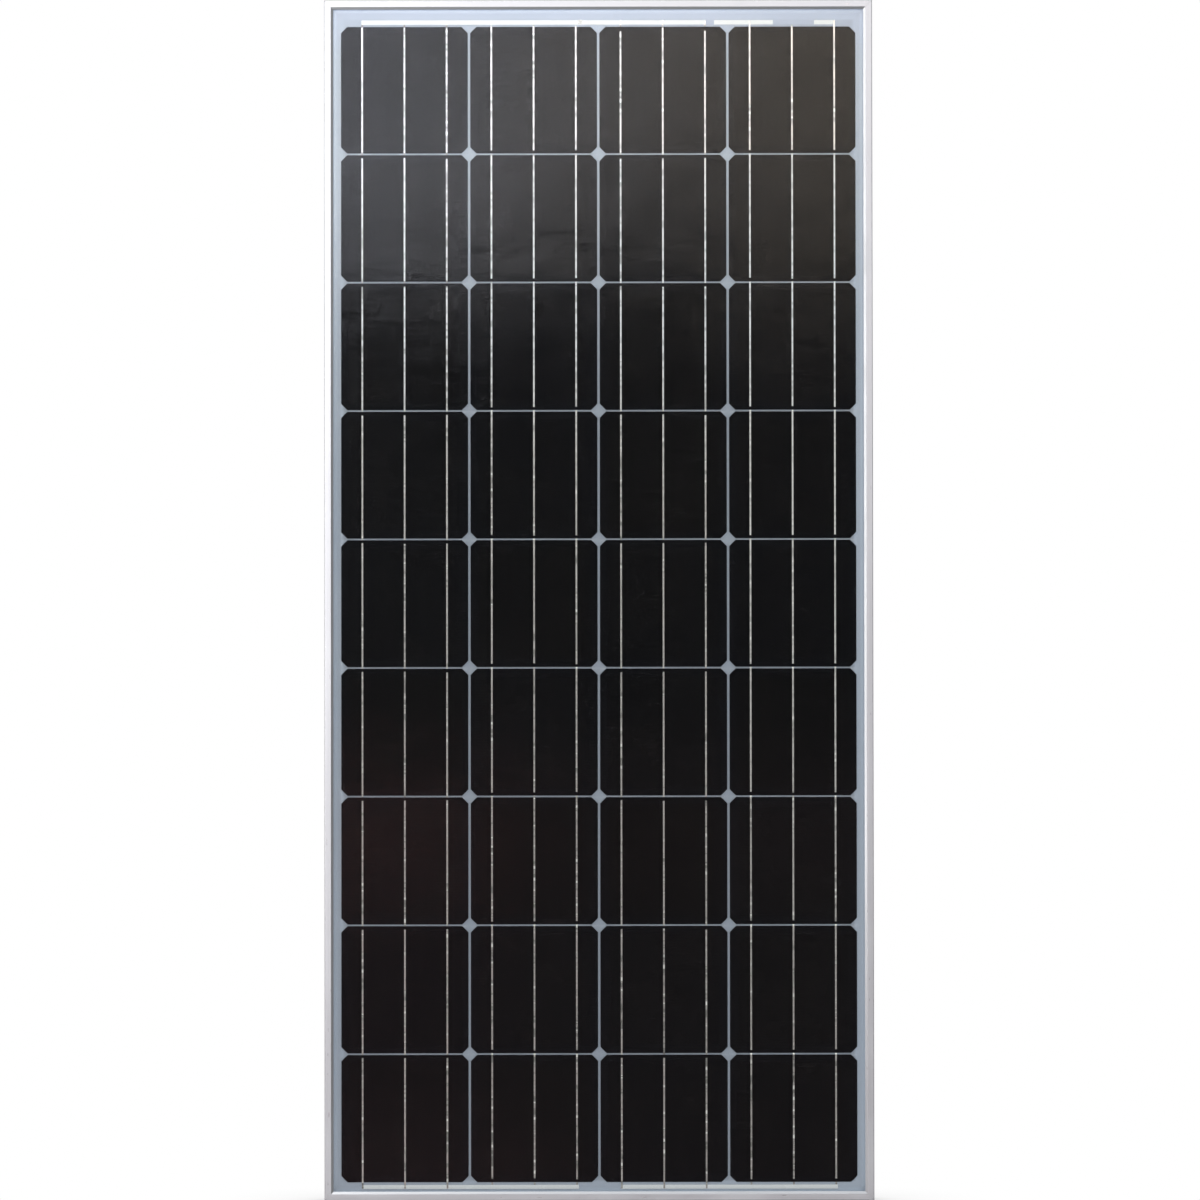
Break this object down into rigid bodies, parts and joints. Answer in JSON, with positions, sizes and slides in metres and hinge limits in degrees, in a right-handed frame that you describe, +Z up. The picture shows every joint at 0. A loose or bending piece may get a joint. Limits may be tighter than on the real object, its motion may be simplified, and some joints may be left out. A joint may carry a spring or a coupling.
{
  "type": "solar panel",
  "caption": "Framed glass photovoltaic module with dark monocrystalline cells in strings, silver frame, and a rear junction box with hinged lid, cables and connectors.",
  "frame": {"origin": "centre of the frame's width and depth, at its bottom edge", "axes": "+Z up the long side, +X to the right seen from the glass side, -Y out of the glass, +Y out of the back"},
  "size_m": [0.674, 0.035, 1.474],
  "materials": {
    "anodised_frame": "clear anodised extrusion, satin, faint lines along its length",
    "mill_aluminium": "mill finish",
    "silicone": "translucent white silicone",
    "front_glass": "tempered low-iron glass, faintly prismatic",
    "encapsulant": "clear cured encapsulant film",
    "silicon_cell": "near-black monocrystalline silicon with fine silver fingers",
    "tinned_copper": "tinned copper ribbon, dull silver",
    "bare_copper": "stranded copper",
    "insulation_film": "white polyester film",
    "backsheet": "white laminated film, slightly bluish",
    "label_film": "silver-white film, blank",
    "black_plastic": "black moulded plastic, fine spark-eroded texture",
    "seal_rubber": "soft black elastomer",
    "steel": "zinc-plated steel",
    "diode_body": "black moulded body, tinned leads",
    "cable_sheath": "black cross-linked sheath, satin"
  },
  "bodies": {
    "module": {"frame_rail_left": "anodised_frame", "frame_rail_right": "anodised_frame", "frame_rail_top": "anodised_frame", "frame_rail_bottom": "anodised_frame", "corner_keys": "mill_aluminium", "frame_sealant": "silicone", "front_glass": "front_glass", "front_encapsulant": "encapsulant", "cell_string_1": "silicon_cell", "cell_string_2": "silicon_cell", "cell_string_3": "silicon_cell", "cell_string_4": "silicon_cell", "ribbon_string_1": "tinned_copper", "ribbon_string_2": "tinned_copper", "ribbon_string_3": "tinned_copper", "ribbon_string_4": "tinned_copper", "bus_top_left": "tinned_copper", "bus_top_middle": "tinned_copper", "bus_top_right": "tinned_copper", "bus_bottom_left": "tinned_copper", "bus_bottom_right": "tinned_copper", "bus_insulation_strips": "insulation_film", "edge_label_strip": "insulation_film", "lead_insulation_film": "insulation_film", "lead_ribbons": "tinned_copper", "rear_encapsulant": "encapsulant", "backsheet": "backsheet", "rating_label": "label_film", "jbox_adhesive_pad": "silicone", "jbox_base": "black_plastic", "jbox_hinge_pin": "steel", "jbox_terminal_left": "tinned_copper", "jbox_terminal_middle": "tinned_copper", "jbox_terminal_right": "tinned_copper", "jbox_terminal_screws": "steel", "jbox_ribbon_clips": "steel", "bypass_diode_left": "diode_body", "bypass_diode_right": "diode_body", "gland_seals": "seal_rubber", "cable_left": "cable_sheath", "cable_right": "cable_sheath", "conductor_left": "bare_copper", "conductor_right": "bare_copper", "plug_housing": "black_plastic", "plug_contact": "tinned_copper", "socket_housing": "black_plastic", "socket_contact": "tinned_copper", "connector_cable_seals": "seal_rubber", "socket_o_ring": "seal_rubber"},
    "lid": {"jbox_lid": "black_plastic", "jbox_lid_seal": "seal_rubber"},
    "gland_left_ring": {"gland_ring_left": "black_plastic"},
    "gland_left_nut": {"gland_nut_left": "black_plastic"},
    "gland_right_ring": {"gland_ring_right": "black_plastic"},
    "gland_right_nut": {"gland_nut_right": "black_plastic"},
    "plug_ring_body": {"plug_ring": "black_plastic"},
    "plug_nut_body": {"plug_nut": "black_plastic"},
    "socket_ring_body": {"socket_ring": "black_plastic"},
    "socket_nut_body": {"socket_nut": "black_plastic"}
  },
  "joints": [
    {"name": "lid_hinge", "type": "hinge", "parent": "module", "child": "lid", "pos_m": [0, 0.008, 1.4234], "axis": [1, 0, 0], "range_deg": [0, 120]},
    {"name": "gland_left_ring_slide", "type": "slide", "parent": "module", "child": "gland_left_ring", "axis": [0, 0, -1], "range_m": [0, 0.0045]},
    {"name": "gland_left_nut_turn", "type": "hinge", "parent": "gland_left_ring", "child": "gland_left_nut", "pos_m": [-0.032, 0.001, 1.303], "axis": [0, 0, -1], "range_deg": [0, 1080.2]},
    {"name": "gland_right_ring_slide", "type": "slide", "parent": "module", "child": "gland_right_ring", "axis": [0, 0, -1], "range_m": [0, 0.0045]},
    {"name": "gland_right_nut_turn", "type": "hinge", "parent": "gland_right_ring", "child": "gland_right_nut", "pos_m": [0.032, 0.001, 1.303], "axis": [0, 0, -1], "range_deg": [0, 1080.2]},
    {"name": "plug_ring_slide", "type": "slide", "parent": "module", "child": "plug_ring_body", "axis": [0, 0, 1], "range_m": [0, 0.0045]},
    {"name": "plug_nut_turn", "type": "hinge", "parent": "plug_ring_body", "child": "plug_nut_body", "pos_m": [-0.058, 0.001, 0.52], "axis": [0, 0, 1], "range_deg": [0, 1080.2]},
    {"name": "socket_ring_slide", "type": "slide", "parent": "module", "child": "socket_ring_body", "axis": [0, 0, 1], "range_m": [0, 0.0045]},
    {"name": "socket_nut_turn", "type": "hinge", "parent": "socket_ring_body", "child": "socket_nut_body", "pos_m": [0.054, 0.001, 0.566], "axis": [0, 0, 1], "range_deg": [0, 1080.2]}
  ],
  "couplings": [
    {"joint": "gland_left_nut_turn", "follows": "gland_left_ring_slide", "rad_per_m": 4188.8},
    {"joint": "gland_right_nut_turn", "follows": "gland_right_ring_slide", "rad_per_m": 4188.8},
    {"joint": "plug_nut_turn", "follows": "plug_ring_slide", "rad_per_m": 4188.8},
    {"joint": "socket_nut_turn", "follows": "socket_ring_slide", "rad_per_m": 4188.8}
  ]
}
